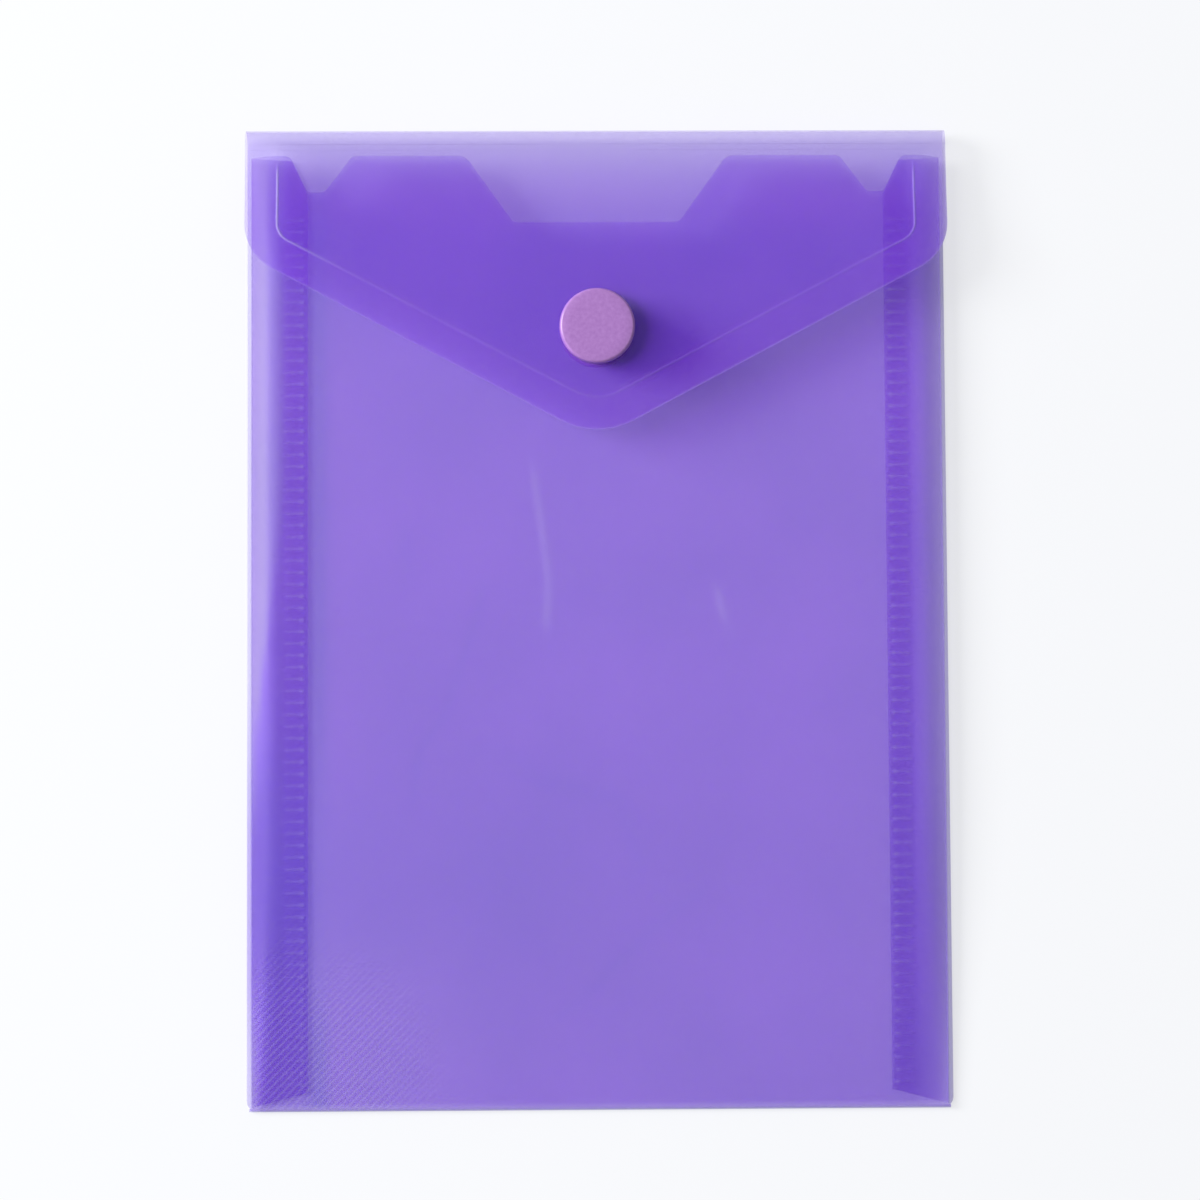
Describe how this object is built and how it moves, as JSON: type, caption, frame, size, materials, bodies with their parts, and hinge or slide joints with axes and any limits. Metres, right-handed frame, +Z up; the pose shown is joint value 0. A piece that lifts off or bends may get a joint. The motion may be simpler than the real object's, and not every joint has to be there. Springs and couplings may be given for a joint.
{
  "type": "document folder",
  "caption": "Translucent film envelope wallet for small papers: a gusseted pocket with a thumb cut-out, welded side tabs and a pointed flap closed by a press snap.",
  "frame": {"origin": "middle of the footprint, on the surface that the wallet lies on", "axes": "+Y along its height towards the top fold, +X across its width, +Z up out of the snap's cap"},
  "size_m": [0.1124, 0.157, 0.01],
  "materials": {
    "film": "frosted translucent violet polypropylene film",
    "welded_film": "the same film, pressed and fused by the weld",
    "snap_plastic": "satin moulded lilac plastic"
  },
  "bodies": {
    "pocket_back": {"back_panel": "film", "bottom_fold": "film", "top_fold": "film", "left_gusset_tab": "film", "right_gusset_tab": "film", "left_weld_seam": "welded_film", "right_weld_seam": "welded_film"},
    "pocket_front": {"front_panel": "film", "left_side_fold": "film", "right_side_fold": "film", "snap_stud": "snap_plastic", "inner_snap_cap": "snap_plastic"},
    "flap": {"flap_root_fold": "film", "flap": "film", "snap_socket": "snap_plastic", "outer_snap_cap": "snap_plastic"}
  },
  "joints": [
    {"name": "flap_hinge", "type": "hinge", "parent": "pocket_back", "child": "flap", "pos_m": [0, 0.0785, 0.0026], "axis": [-1, 0, 0], "range_deg": [0, 169]},
    {"name": "mouth_gape", "type": "hinge", "parent": "pocket_back", "child": "pocket_front", "pos_m": [0, -0.07795, 0.0011], "axis": [1, 0, 0], "range_deg": [0, 1.5]}
  ],
  "couplings": [
    {"joint": "mouth_gape", "follows": "flap_hinge", "ratio": 0.0088}
  ]
}
